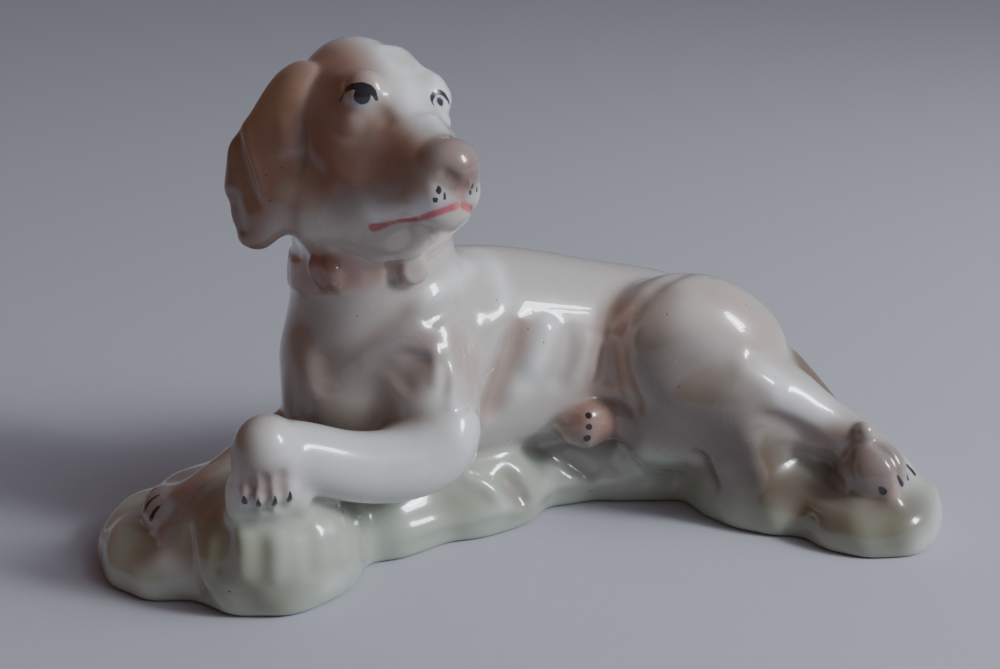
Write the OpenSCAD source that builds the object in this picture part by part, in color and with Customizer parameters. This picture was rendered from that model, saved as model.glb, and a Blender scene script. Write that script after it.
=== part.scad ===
// Lying pointing dog in glazed porcelain on a rocky plinth.
// The figure is luted together from separate castings and sprigs:
// plinth, trunk, head, two ears, four legs, tail, collar strap, buckle and ring.
// Millimetres, +Z up, the dog faces -X and turns its head toward -Y.

/* [Overall] */
// length of the plinth, end to end
length_all = 228; // [190:1:270]
// depth of the plinth, front to back
depth_all = 90; // [75:1:110]
// height of the crown of the head above the table
height_all = 134; // [112:1:160]

/* [Casting] */
// wall of the hollow castings
wall = 3.4; // [2.5:0.1:4.2]
// thickness of the plinth floor
floor_t = 3.6; // [3:0.1:5]
// bore of the vent hole in the plinth
vent_d = 8; // [6:0.5:10]
// width of the unglazed foot rim
foot_w = 6; // [4:0.5:8]
// depth of the recess inside the foot rim
foot_h = 0.8; // [0.4:0.1:1.2]

/* [Head] */
// scale of the head and ears
head_k = 1; // [0.8:0.01:1.2]
// turn of the head, from +X
head_turn = -62; // [-90:1:-40]
// sideways tip of the head
head_tip = -8; // [-14:1:0]
// length of the hanging ear flap
ear_len = 48; // [40:1:58]
// thickness of the ear flap
ear_t = 9; // [6.5:0.5:11]

/* [Limbs and tail] */
// thickness of the forearm
arm_d = 18; // [14:0.5:22]
// width of a paw
paw_w = 20; // [16:0.5:24]
// thickness of the hock
hock_d = 16; // [13:0.5:19]
// thickness of the tail at the root
tail_d = 12; // [9:0.5:15]

/* [Collar] */
// width of the collar strap
collar_w = 9.5; // [7:0.5:12]
// how far the strap stands off the neck
collar_t = 1.8; // [1.2:0.1:2.5]
// lean of the collar with the neck
collar_lean = -17; // [-22:1:-12]
// width of the buckle plate
buckle_w = 8; // [6:0.5:10]
// outer width of the hanging ring
ring_d = 9; // [7:0.5:11]

/* [Hidden] */
sx = length_all / 228;
sy = depth_all / 90;
sz = height_all / 134;
ks = (sx + sy + sz) / 3;
kp = paw_w / 20;
neck_c = [-38 * sx, 5 * sy, 82 * sz];
head_c = [-39 * sx, 1 * sy, 117 * sz];
vent_at = [14 * sx, 24 * sy];

// plinth boulders: x, y, radius along x, radius along y, height
ROCKS = [
  [-92,  -2, 22, 26, 13.5], [-69, -16, 24, 23, 27], [-75,  16, 28, 24, 12],
  [-45,  12, 34, 31, 22], [-18,  14, 30, 26, 24], [ 12,  24, 34, 21, 25],
  [ 42,  22, 32, 22, 24], [ 72,   4, 25, 32, 21], [ 92, -20, 22, 25, 15],
  [ 88,  12, 24, 26, 19]];

// trunk, chest to rump: x, y, z of the middle, half width, half height
TRUNK = [
  [-63,  3, 45,  5,  9], [-59,  4, 45, 15, 19], [-50,  6, 45, 21, 26],
  [-34,  9, 45, 25, 30], [-14, 14, 45, 25, 30], [  4, 18, 44, 24, 28],
  [ 28, 20, 42, 22, 24], [ 46, 20, 40, 23, 22], [ 61, 19, 35, 23, 20.5],
  [ 74, 17, 31, 19, 16], [ 82, 15, 29, 13, 11], [ 87, 14, 28,  6,  5]];

// neck, from inside the chest up into the head: x, y, z, half length, half width
NECK = [
  [-36,  6,  34, 25, 21], [-37,  5,  52, 25, 21.5], [-37,  5,  66, 23, 21.5],
  [-38,  5,  78, 21,  21], [-38.5,  4,  92, 19.5, 20], [-39,  3, 108, 18, 18]];

// head in its own frame, occiput to lips: x, z of the middle, half width, half height
SKULL = [
  [-19, -1,  5,  8], [-15, -3, 12, 16], [ -7, -5, 17, 21.5], [  2, -9, 18, 24],
  [ 10, -13, 16.5, 24], [ 16, -15, 13.8, 21.5], [ 22, -15.5, 11, 18],
  [ 28, -14.5, 9.6, 13.5], [ 33, -14.5, 8.8, 10.5], [ 37, -15.5, 7, 8], [ 39, -16.5, 3, 4]];

// ear flap in the head frame: x, y (for the left ear), z share, half width, thickness share
EAR = [
  [ -5, 12,  0.00, 5, 0.8], [ -6, 15,  0.08, 7.5, 1], [ -7, 17.5, 0.24, 10, 1],
  [ -9, 20,  0.45, 11.5, 0.95], [-10.5, 22, 0.64, 11.5, 0.9], [-11.5, 22.8, 0.82, 9.5, 0.85],
  [-12, 22.6, 0.94, 6.5, 0.7], [-12, 22, 1.00, 2.5, 0.4]];

function unit(v) = v / norm(v);
function pick(v, i) = v[max(0, min(len(v) - 1, i))];
function blend(a, b, c, d, t) = 0.5 * (2 * b + (c - a) * t
  + (2 * a - 5 * b + 4 * c - d) * t * t + (3 * b - a - 3 * c + d) * t * t * t);
function smooth(v, n) = concat([for (i = [0:len(v) - 2], k = [0:n - 1])
  blend(pick(v, i - 1), v[i], v[i + 1], pick(v, i + 2), k / n)], [v[len(v) - 1]]);
function part3(v, i) = [v[i], v[i + 1], v[i + 2]];

// loft through frames [centre, half axis u, half axis v] flattened to nine numbers
module loft(frames, n = 24) {
  m = len(frames);
  pts = concat([for (f = frames, j = [0:n - 1])
    part3(f, 0) + cos(360 * j / n) * part3(f, 3) + sin(360 * j / n) * part3(f, 6)],
    [part3(frames[0], 0), part3(frames[m - 1], 0)]);
  side = [for (i = [0:m - 2], j = [0:n - 1]) let (k = (j + 1) % n)
    each [[i * n + j, (i + 1) * n + k, i * n + k], [i * n + j, (i + 1) * n + j, (i + 1) * n + k]]];
  ends = [for (j = [0:n - 1]) let (k = (j + 1) % n)
    each [[m * n, j, k], [m * n + 1, (m - 1) * n + k, (m - 1) * n + j]]];
  polyhedron(points = pts, faces = concat(side, ends), convexity = 6);
}

// sweep a round section along stations [x, y, z, radius] with domed ends
module sweep(st, ref = [0, 0, 1], n = 18, k = 3) {
  s = smooth(st, k);
  m = len(s);
  function dir(i) = unit(part3(pick(s, i + 1), 0) - part3(pick(s, i - 1), 0));
  function fr(c, t, r) = let (u = unit(cross(ref, t)), v = cross(t, u)) concat(c, r * u, r * v);
  a = [for (p = [78, 52, 26]) fr(part3(s[0], 0) - dir(0) * s[0][3] * sin(p), dir(0), s[0][3] * cos(p))];
  b = [for (i = [0:m - 1]) fr(part3(s[i], 0), dir(i), s[i][3])];
  c = [for (p = [26, 52, 78]) fr(part3(s[m - 1], 0) + dir(m - 1) * s[m - 1][3] * sin(p),
    dir(m - 1), s[m - 1][3] * cos(p))];
  loft(concat(a, b, c), n);
}

// everything inside is meshed as one smooth casting
module cast() { resize([0, 0, 0]) union() children(); }
module set(v) { translate([v[0] * sx, v[1] * sy, v[2] * sz]) children(); }
function st(v) = [for (p = v) [p[0] * sx, p[1] * sy, p[2] * sz, p[3] * ks]];

module rock(r, inset) {
  a = r[2] * sx - inset;
  b = r[3] * sy - inset;
  h = r[4] * sz - inset;
  z0 = inset > 0 ? floor_t : 0;
  low = inset > 0 ? 1 : 0.955;
  fr = [[z0, low], [z0 + 0.12 * (h - z0), 1], [z0 + 0.42 * (h - z0), 0.97], [z0 + 0.68 * (h - z0), 0.88],
    [z0 + 0.9 * (h - z0), 0.66], [h, 0.35]];
  translate([r[0] * sx, r[1] * sy, 0])
    loft([for (f = fr) [0, 0, f[0], a * f[1], 0, 0, 0, b * f[1], 0]], inset > 0 ? 14 : 24);
}
module plinth(inset = 0) { union() for (r = ROCKS) rock(r, inset); }

module trunk(inset = 0) {
  s = smooth(TRUNK, inset > 0 ? 2 : 3);
  loft([for (p = s) let (b = p[3] * sy - inset, c = p[4] * sz - inset) if (b > 3 && c > 3)
    [p[0] * sx, p[1] * sy, p[2] * sz, 0, b, 0, 0, 0, c]], inset > 0 ? 17 : 23);
}
module neck(inset = 0, low = 0, high = 200) {
  s = smooth(NECK, inset > 0 ? 2 : 3);
  loft([for (p = s) if (p[2] >= low && p[2] <= high)
    [p[0] * sx, p[1] * sy, p[2] * sz, p[3] * sx - inset, 0, 0, 0, p[4] * sy - inset, 0]], inset > 0 ? 16 : 24);
}
module above_collar() { translate(neck_c) rotate([0, collar_lean, 0]) translate([-80, -80, 0]) cube([160, 160, 160]); }

module trunk_solid() {
  difference() {
    union() {
      trunk();
      neck(high = 98);
      sweep(st([[-30, -3, 64, 14], [-28, -9, 50, 14.5], [-26, -12, 36, 13]]), [0, 1, 0]);
      sweep(st([[-40, 18, 58, 15], [-44, 20, 42, 15]]), [0, 1, 0]);
    }
    plinth();
    above_collar();
  }
}
module head_frame() { translate(head_c) rotate([head_tip, 0, head_turn]) scale(head_k) children(); }
module skull(inset = 0) {
  s = smooth(SKULL, inset > 0 ? 2 : 3);
  loft([for (p = s) let (b = p[2] - inset, c = p[3] - inset) if (b > 2.5 && c > 2.5)
    [p[0], 0, p[1], 0, b, 0, 0, 0, c]], inset > 0 ? 16 : 24);
}
module muzzle_parts() {
  translate([34.5, 0, -8.5]) scale([1, 1.1, 0.95]) sphere(d = 11, $fn = 18);
  for (m = [-1, 1]) {
    translate([31, m * 4.2, -17.5]) scale([1.05, 0.85, 0.95]) sphere(d = 13, $fn = 16);
    translate([11, m * 8.4, 4.5]) scale([1, 1, 0.9]) sphere(d = 12, $fn = 16);
    translate([9, m * 8, -18]) rotate([0, 20, 0]) scale([1.25, 0.8, 1.25]) sphere(d = 22, $fn = 18);
  }
}
module head_solid() {
  difference() {
    union() {
      neck(low = 64);
      head_frame() { skull(); muzzle_parts(); }
    }
    difference() {
      translate([neck_c[0] - 90, neck_c[1] - 90, neck_c[2] - 60]) cube([180, 180, 100]);
      above_collar();
    }
  }
}
module ear(side) {
  s = smooth(EAR, 3);
  fw = unit([-0.91, 0.41 * side, 0]);
  nm = unit([0.41, 0.91 * side, 0]);
  v = side > 0 ? nm : -nm;
  loft([for (p = s) concat([p[0], side * p[1], 10 - ear_len * p[2]], p[3] * fw,
    p[4] * ear_t / 2 * v)], 18);
}
module under_ear() { head_solid(); trunk_solid(); strap(collar_t, collar_w); }
module toe(a, b, r) { hull() { set(a) sphere(r = r * kp, $fn = 14); set(b) sphere(r = r * kp * 0.9, $fn = 14); } }
module arm_left() {
  r = arm_d / 2 / ks;
  sweep(st([[-24, -14, 42, r + 2.5], [-26, -19, 34, r + 2], [-36, -24, 31, r + 0.8], [-49, -27, 33, r],
    [-61, -29, 38, r - 0.4], [-69, -31, 40, r]]), [0, 0, 1], 20);
  sweep(st([[-69, -31, 41, r * 0.98], [-70, -33, 34, paw_w * 0.43]]), [0, 1, 0], 20);
  for (i = [0:3]) toe([-77.5 + i * 5 * kp, -33, 33], [-78 + i * 5.1 * kp, -36.2 + abs(i - 1.5) * 0.8, 28], 3.3);
}
module arm_right() {
  r = arm_d / 2 / ks;
  sweep(st([[-54, 2, 32, r + 1.5], [-67, 0, 26, r], [-80, -5, 20, r - 1], [-90, -10, 16, r - 1.2]]), [0, 0, 1]);
  for (i = [0:3]) toe([-92 + abs(i - 1.5) * 0.8, -16.5 + i * 4.2 * kp, 16.5], [-98 + abs(i - 1.5) * 1.2, -19 + i * 4.4 * kp, 13.5], 3.2);
}
module leg_left() {
  r = hock_d / 2 / ks;
  set([50, 1, 45]) rotate([0, 24, 0]) scale([28 * sx, 18 * sy, 22 * sz]) sphere(r = 1, $fn = 28);
  sweep(st([[46, -4, 38, 14], [58, -8, 36, 14.5], [70, -11, 33.5, 11.5], [80, -16, 28.5, r + 0.3], [87.5, -21, 24.5, r - 0.6],
    [92.5, -26, 19.5, r]]), [0, 0, 1]);
  for (i = [0:3]) toe([90.5 + i * 3.4 * kp, -31 + i * 2.6 * kp, 18.5], [92 + i * 3.8 * kp, -37 + i * 3.6 * kp, 14.5], 3.2);
}
module leg_right() {
  r = hock_d / 2 / ks;
  sweep(st([[38, 12, 34, r + 1], [29, 5.5, 29.5, r + 0.5], [19, 1, 28, r]]), [0, 0, 1]);
  for (i = [0:2]) toe([19, -4, 24 + i * 3.8 * kp], [17, -6.5, 23.8 + i * 3.8 * kp], 2.6);
}
module tail_solid() {
  r = tail_d / 2 / ks;
  sweep(st([[72, 14, 41, r], [79, 9, 37, r * 0.9], [85, 1, 30.5, r * 0.8], [90, -8, 23.5, r * 0.72],
    [94, -15, 17, r * 0.6]]), [0, 0, 1], 16);
}
module strap(extra, w) {
  intersection() {
    neck(-extra);
    translate(neck_c) rotate([0, collar_lean, 0]) translate([-60, -60, -w / 2]) cube([120, 120, w]);
  }
}
module on_strap(a) {
  translate(neck_c) rotate([0, collar_lean, 0])
    translate([(20.8 * sx + collar_t) * cos(a) - 0.8, (20.8 * sy + collar_t) * sin(a) - 0.3, 0]) rotate([0, 0, a]) children();
}

module base() {
  color([0.72, 0.76, 0.68])
  difference() {
    cast() difference() {
      plinth();
      plinth(wall);
      translate([vent_at[0], vent_at[1], -1]) cylinder(d = vent_d - 3, h = 60, $fn = 12);
      translate([0, 0, -1]) linear_extrude(foot_h + 1)
        offset(delta = -foot_w) projection(cut = true) translate([0, 0, -0.01]) plinth();
    }
    translate([vent_at[0], vent_at[1], -1]) cylinder(d = vent_d, h = 60, $fn = 48);
  }
}
module body() {
  color([0.9, 0.86, 0.82])
  cast() difference() {
    trunk_solid();
    trunk(wall);
    neck(wall, high = 98);
  }
}
module head() {
  color([0.88, 0.8, 0.74])
  cast() difference() {
    head_solid();
    neck(wall, low = 60, high = 106);
    head_frame() skull(wall);
  }
}
module ear_right() { color([0.6, 0.47, 0.4]) cast() difference() { head_frame() ear(-1); under_ear(); } }
module ear_left() { color([0.6, 0.47, 0.4]) cast() difference() { head_frame() ear(1); under_ear(); } }
module foreleg_left() { color([0.93, 0.9, 0.87]) cast() difference() { arm_left(); trunk_solid(); plinth(); } }
module foreleg_right() { color([0.9, 0.84, 0.78]) cast() difference() { arm_right(); trunk_solid(); plinth(); arm_left(); } }
module hindleg_left() { color([0.86, 0.8, 0.76]) cast() difference() { leg_left(); trunk_solid(); plinth(); } }
module hindleg_right() { color([0.78, 0.66, 0.58]) cast() difference() { leg_right(); trunk_solid(); plinth(); leg_left(); } }
module tail() { color([0.7, 0.58, 0.5]) cast() difference() { tail_solid(); trunk_solid(); plinth(); leg_left(); } }
module collar() {
  color([0.62, 0.48, 0.42])
  cast() difference() { strap(collar_t, collar_w); neck(); trunk_solid(); head_solid(); }
}
module collar_buckle() {
  color([0.7, 0.55, 0.48])
  cast() difference() {
    on_strap(232) rotate([0, 90, 0]) scale([(collar_w + 2) / (buckle_w + 2), 1, 0.42]) sphere(d = buckle_w + 2, $fn = 24);
    strap(collar_t, collar_w);
    trunk_solid();
    head_solid();
  }
}
module collar_ring() {
  color([0.75, 0.62, 0.55])
  cast() difference() {
    on_strap(288) translate([0.4, 0, -collar_w / 2 + 0.6]) rotate([0, 90, 0])
      rotate_extrude($fn = 28) translate([ring_d / 2 - 1.4, 0]) circle(r = 1.4, $fn = 12);
    strap(collar_t, collar_w);
    trunk_solid();
    head_solid();
  }
}

base();
body();
head();
ear_right();
ear_left();
foreleg_left();
foreleg_right();
hindleg_left();
hindleg_right();
tail();
collar();
collar_buckle();
collar_ring();
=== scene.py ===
# %% [markdown]
# # A lying hound in glazed porcelain
# This lesson dresses a cast porcelain figurine. The castings come from the frame, and the looks are made
# here: soft clay over every casting, modelling with a few brushes, one glaze and air-brushed colour under
# it.

# %% Load the castings
import math

import bpy
import numpy as np
import openvdb as vdb
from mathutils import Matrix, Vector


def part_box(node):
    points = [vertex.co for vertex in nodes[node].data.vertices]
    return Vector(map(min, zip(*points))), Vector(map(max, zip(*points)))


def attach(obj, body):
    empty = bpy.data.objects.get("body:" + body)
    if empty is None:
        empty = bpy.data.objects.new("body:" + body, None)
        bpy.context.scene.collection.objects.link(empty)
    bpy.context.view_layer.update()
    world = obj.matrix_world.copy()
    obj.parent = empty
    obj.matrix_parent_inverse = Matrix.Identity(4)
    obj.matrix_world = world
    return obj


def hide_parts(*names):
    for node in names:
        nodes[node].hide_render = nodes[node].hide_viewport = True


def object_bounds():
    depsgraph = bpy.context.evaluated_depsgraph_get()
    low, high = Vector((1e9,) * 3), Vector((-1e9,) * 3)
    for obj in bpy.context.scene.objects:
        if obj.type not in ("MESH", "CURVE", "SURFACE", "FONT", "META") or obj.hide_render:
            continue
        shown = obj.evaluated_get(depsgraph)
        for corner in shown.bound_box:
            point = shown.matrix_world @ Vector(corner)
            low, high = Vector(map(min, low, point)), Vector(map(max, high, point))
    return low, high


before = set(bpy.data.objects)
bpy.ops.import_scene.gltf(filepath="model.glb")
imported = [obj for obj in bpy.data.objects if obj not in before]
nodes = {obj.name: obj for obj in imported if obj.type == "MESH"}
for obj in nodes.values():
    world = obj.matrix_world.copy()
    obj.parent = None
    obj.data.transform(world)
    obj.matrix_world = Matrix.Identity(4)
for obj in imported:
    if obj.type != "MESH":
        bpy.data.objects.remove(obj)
cad_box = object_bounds()
print("castings:", ", ".join(sorted(nodes)))

# %% [markdown]
# Sculpting with brushes needs a window and a hand, so the clay here is a distance field instead: a block of
# voxels, each holding how far it is from the surface, negative inside. Joining two pieces of clay with a
# soft minimum leaves the same rounded corner that glaze leaves, and a brush stroke is a small push along a
# line.

# %% The block of clay
MM = 1000.0
VOXEL = 0.64
# how far from the surface the castings' distances are known, and the air round them, both in mm
BAND = 6.0
MARGIN = 10
low = np.array(cad_box[0]) * MM - MARGIN
high = np.array(cad_box[1]) * MM + MARGIN
dims = np.ceil((high - low) / VOXEL).astype(int) + 1
clay = np.full(dims, BAND, np.float32)
print("clay:", clay.shape, "voxels of", VOXEL, "mm")


# %% [markdown]
# Work on the whole block would be slow, so a brush or a casting only opens a window on it. A window is a
# slice of the array with the places of its voxels in millimetres, one axis at a time, ready to be
# broadcast.

# %% Windows on the clay
def box_mm(name):
    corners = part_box(name)
    return np.array(corners[0]) * MM, np.array(corners[1]) * MM


def window(first_corner, last_corner):
    a = np.floor((np.asarray(first_corner) - low) / VOXEL).astype(int)
    b = np.ceil((np.asarray(last_corner) - low) / VOXEL).astype(int) + 1
    a = np.clip(a, 0, dims)
    b = np.clip(b, 0, dims)
    axes = [low[i] + VOXEL * np.arange(a[i], b[i], dtype=np.float32) for i in range(3)]
    cut = tuple(slice(i, j) for i, j in zip(a, b))
    return cut, a, axes[0][:, None, None], axes[1][None, :, None], axes[2][None, None, :]


print("plinth:", *(corner.round(1) for corner in box_mm("base")))


# %% [markdown]
# A mesh becomes a distance field and a field becomes a mesh again by way of a level-set grid. The Remesh
# modifier could do the second step, but it would know nothing of the soft joins that are made in between.

# %% From mesh to clay and back
def distances(points, triangles, quads, first, shape):
    grid = vdb.FloatGrid.createLevelSetFromPolygons(
        points=np.ascontiguousarray(points, np.float32),
        triangles=np.ascontiguousarray(triangles, np.uint32).reshape(-1, 3),
        quads=np.ascontiguousarray(quads, np.uint32).reshape(-1, 4),
        transform=vdb.createLinearTransform(1.0), halfWidth=BAND / VOXEL)
    field = np.empty(shape, np.float32)
    grid.copyToArray(field, ijk=tuple(int(i) for i in first))
    return field * VOXEL


def surface(field, first):
    grid = vdb.FloatGrid(BAND)
    grid.copyFromArray(np.ascontiguousarray(field), ijk=tuple(int(i) for i in first))
    points, quads = grid.convertToQuads()
    return points, quads


# %% [markdown]
# Two distances are joined by taking the smaller one, and k millimetres of fillet are added where they are
# nearly alike. A cut is the same join seen from the other side. A blur along each axis in turn softens
# facets.

# %% Joining and softening
def soft_join(one, other, k):
    overlap = np.maximum(k - np.abs(one - other), 0) / k
    return np.minimum(one, other) - overlap * overlap * k * 0.25


def soft_cut(one, other, k):
    return -soft_join(-one, other, k)


# how many widths out a soft edge is followed
EDGE = 2.6


def blur(field, sigma_mm, pitch=VOXEL):
    sigma = sigma_mm / pitch
    reach = max(1, int(math.ceil(EDGE * sigma)))
    weights = np.exp(-0.5 * (np.arange(-reach, reach + 1) / sigma) ** 2)
    weights /= weights.sum()
    for axis in range(3):
        pads = [(reach, reach) if a == axis else (0, 0) for a in range(3)]
        wide = np.pad(field, pads, mode="edge")
        size = field.shape[axis]
        field = sum(np.float32(w) * wide.take(range(i, i + size), axis=axis)
                    for i, w in enumerate(weights))
    return field


# %% [markdown]
# A sculptor feels where the surface is. Here the field is read between its voxels, its slope gives the way
# the surface faces, and a point is walked along that way until it lies on the skin, so no mark hangs in the
# air.

# %% Reading the clay
SNAP_STEPS = 8
SNAP_STRIDE = 1.5


def sampled(field, at):
    at = np.clip(at, 0, np.array(field.shape) - 1.001)
    i = at.astype(int)
    f = (at - i).astype(np.float32)
    total = np.zeros(len(at), np.float32)
    for dx in (0, 1):
        for dy in (0, 1):
            for dz in (0, 1):
                share = abs(1 - dx - f[:, 0]) * abs(1 - dy - f[:, 1]) * abs(1 - dz - f[:, 2])
                total += share * field[i[:, 0] + dx, i[:, 1] + dy, i[:, 2] + dz]
    return total


def facing(at):
    normals = np.zeros((len(at), 3), np.float32)
    for axis in range(3):
        step = np.zeros(3)
        step[axis] = 1.0
        normals[:, axis] = sampled(clay, at + step) - sampled(clay, at - step)
    return normals / np.maximum(np.linalg.norm(normals, axis=1, keepdims=True), 1e-9)


def snapped(points):
    spots = np.array(points, float)
    for _ in range(SNAP_STEPS):
        at = (spots - low) / VOXEL
        gap = np.clip(sampled(clay, at), -SNAP_STRIDE, SNAP_STRIDE)
        spots = spots - facing(at) * gap[:, None]
    return spots


# %% [markdown]
# A place is an origin with its own axes. The head looks round and a little down, so marks on it are
# measured along the head: x forward from between the ears, y to the dog's left, z up. All else is measured
# on the figure.

# %% Places
HEAD_MIDDLE = (20.2, 37.2, 41.5)
HEAD_TURN = -62
HEAD_TIP = -8


def turned(turn, tip):
    a = math.radians(turn)
    b = math.radians(tip)
    about_z = np.array([[math.cos(a), -math.sin(a), 0], [math.sin(a), math.cos(a), 0], [0, 0, 1]])
    about_x = np.array([[1, 0, 0], [0, math.cos(b), -math.sin(b)], [0, math.sin(b), math.cos(b)]])
    return about_z @ about_x


plinth_low, plinth_high = box_mm("base")
stand = (plinth_low + plinth_high) / 2
stand[2] = plinth_low[2]
FIGURE = (stand, np.eye(3))
HEAD = (box_mm("head")[0] + np.array(HEAD_MIDDLE), turned(HEAD_TURN, HEAD_TIP))
print("figure stands at", stand.round(1), "and the head's middle is at", HEAD[0].round(1))


def at_place(place, points):
    origin, axes = place
    return np.atleast_2d(np.asarray(points, float)) @ axes.T + origin


# %% [markdown]
# A hand draws a curve, not a row of straight pieces, so every line runs smoothly through its few points.

# %% Lines
def curve(points, steps=5):
    p = np.atleast_2d(np.asarray(points, float))
    if len(p) < 2:
        return p
    p = np.vstack([2 * p[0] - p[1], p, 2 * p[-1] - p[-2]])
    out = []
    for i in range(1, len(p) - 2):
        a, b, c, d = p[i - 1:i + 3]
        for t in np.arange(steps) / steps:
            out.append(0.5 * (2 * b + (c - a) * t + (2 * a - 5 * b + 4 * c - d) * t ** 2
                              + (3 * b - a - 3 * c + d) * t ** 3))
    out.append(p[-2])
    return np.array(out)


def along(line, radii, x, y, z):
    best = np.full(np.broadcast(x, y, z).shape, 1e3, np.float32)
    share = np.zeros_like(best)
    last = max(len(line) - 1, 1)
    for i in range(last):
        a = line[i]
        b = line[min(i + 1, len(line) - 1)]
        d = b - a
        square = max(float(d @ d), 1e-9)
        t = np.clip(((x - a[0]) * d[0] + (y - a[1]) * d[1] + (z - a[2]) * d[2]) / square, 0, 1)
        gap = np.sqrt((x - a[0] - t * d[0]) ** 2 + (y - a[1] - t * d[1]) ** 2 + (z - a[2] - t * d[2]) ** 2)
        gap = gap - (radii[i] * (1 - t) + radii[min(i + 1, len(radii) - 1)] * t)
        nearer = gap < best
        best = np.where(nearer, gap, best)
        share = np.where(nearer, (i + t) / last, share)
    return best, share


# %% [markdown]
# Three brushes do all the modelling. A stroke pushes a groove in (positive depth) or piles a ridge up
# (negative depth) along a line and fades at both ends, a puff does the same round one point, and a blob
# adds an egg of clay with a fillet. Sculpt mode has such brushes, but they follow a hand and can't be
# written down.

# %% Brushes
PUFF_EDGE = 2.4


def stroke(place, points, width, depth, fade=0.3):
    line = snapped(curve(at_place(place, points)))
    cut, _, x, y, z = window(line.min(0) - EDGE * width, line.max(0) + EDGE * width)
    gap, share = along(line, np.zeros(len(line)), x, y, z)
    ends = np.clip(np.minimum(share, 1 - share) / fade, 0, 1)
    clay[cut] += (depth * np.exp(-(gap / width) ** 2) * (ends * ends * (3 - 2 * ends))).astype(np.float32)


def puff(place, centre, radius, depth):
    middle = snapped(at_place(place, centre))[0]
    cut, _, x, y, z = window(middle - PUFF_EDGE * radius, middle + PUFF_EDGE * radius)
    gap = ((x - middle[0]) ** 2 + (y - middle[1]) ** 2 + (z - middle[2]) ** 2) / radius ** 2
    clay[cut] += (depth * np.exp(-gap)).astype(np.float32)


def blob(place, centre, radii, k):
    middle = at_place(place, centre)[0]
    axes = place[1]
    size = max(radii) + k + 1
    cut, _, x, y, z = window(middle - size, middle + size)
    parts = [(x - middle[0]) * axes[0, i] + (y - middle[1]) * axes[1, i] + (z - middle[2]) * axes[2, i]
             for i in range(3)]
    inner = np.sqrt(sum((p / r) ** 2 for p, r in zip(parts, radii)))
    outer = np.sqrt(sum((p / r ** 2) ** 2 for p, r in zip(parts, radii)))
    field = inner * (inner - 1) / np.maximum(outer, 1e-4)
    clay[cut] = soft_join(clay[cut], field.astype(np.float32), k)


# %% [markdown]
# Each casting is filled, because only its outer skin is wanted, softened so that its flat facets go, and
# joined to the rest. How soft it gets follows how fine the casting is. Three of them are hollow: a voxel
# that has wall on four sides lies inside, and the mask of such voxels is grown a little so that no film is
# left.

# %% Filling a hollow casting
# softness of the facets, then the width of the fillet where the piece meets the rest, both in mm
CASTINGS = {
    "base": (2.6, 4.0),
    "body": (2.4, 4.0),
    "head": (1.1, 3.0),
    "ear_right": (1.1, 1.6),
    "ear_left": (1.1, 1.6),
    "foreleg_left": (1.5, 5.0),
    "foreleg_right": (1.4, 3.0),
    "hindleg_left": (1.8, 5.9),
    "hindleg_right": (1.1, 2.5),
    "tail": (1.2, 3.0),
    "collar": (0.9, 2.0),
    "collar_buckle": (0.8, 1.6),
    "collar_ring": (0.8, 1.4),
}
HOLLOW = ("base", "body", "head")
FILL_OVERLAP = 1.8


def filled(solid):
    seen = [np.maximum.accumulate(solid, axis=a) for a in (0, 1)]
    seen += [np.flip(np.maximum.accumulate(np.flip(solid, a), axis=a), a) for a in (0, 1)]
    return seen[0] & seen[1] & seen[2] & seen[3]


def grown(mask, steps):
    for _ in range(steps):
        for axis in range(3):
            mask = mask | np.roll(mask, 1, axis) | np.roll(mask, -1, axis)
    return mask


# %% [markdown]
# The plinth's own floor has a rim and a vent, which come back later, so its lowest slices are first copied
# from the one above them. Then every casting goes in, from the plinth up to the sprigs on the collar.

# %% Press every casting into the clay
WALL_AIR = 9
FLAT_FLOOR = 1.2
LIMIT = 2.2


def pressed(name, softness):
    mesh = nodes[name].data
    mesh.calc_loop_triangles()
    points = np.empty(len(mesh.vertices) * 3, np.float32)
    mesh.vertices.foreach_get("co", points)
    corners = np.empty(len(mesh.loop_triangles) * 3, np.int32)
    mesh.loop_triangles.foreach_get("vertices", corners)
    points = (points.reshape(-1, 3) * MM - low) / VOXEL
    a_corner, b_corner = box_mm(name)
    cut, first, x, y, z = window(a_corner - WALL_AIR, b_corner + WALL_AIR)
    shape = clay[cut].shape
    field = distances(points, corners, np.zeros((0, 4)), first, shape)
    limit = LIMIT * softness
    if name in HOLLOW:
        solid = field < 0
        whole = filled(solid)
        hollow = grown(whole & ~solid, int(math.ceil(FILL_OVERLAP / VOXEL)))
        field[hollow & whole] = -BAND
    if name == "base":
        under = z[0, 0] < FLAT_FLOOR
        layer = int(np.argmax(~under))
        field[:, :, under] = field[:, :, layer:layer + 1]
    field = blur(np.clip(field, -limit, limit), softness)
    points, quads = surface(field, first)
    return cut, distances(points, np.zeros((0, 3)), quads, first, shape)


skins = {}
for name, (softness, fillet) in CASTINGS.items():
    cut, field = pressed(name, softness)
    skins[name] = (cut, field)
    clay[cut] = soft_join(clay[cut], field, fillet)
    print("pressed", name, field.shape)

# %% [markdown]
# Two gaps stay open between the castings: the neck joint under the strap, and the slit between the rump and
# the tail. Slip would run into both, so both are plugged with an egg of clay.

# %% Plug the open joints
blob(FIGURE, (-38, 5.5, 83), (20.5, 20, 14), 2.0)
blob(FIGURE, (80, -2, 22), (12, 6, 7), 3.0)
print("clay within the figure:", int((clay < 0).sum()), "voxels")

# %% [markdown]
# The head is modelled first: brows over deep-set eyes, a bag under each eye, the stop between them, a round
# nose with comma nostrils, full upper lips over a long mouth, and cheeks that run smoothly down into the
# neck.

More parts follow.
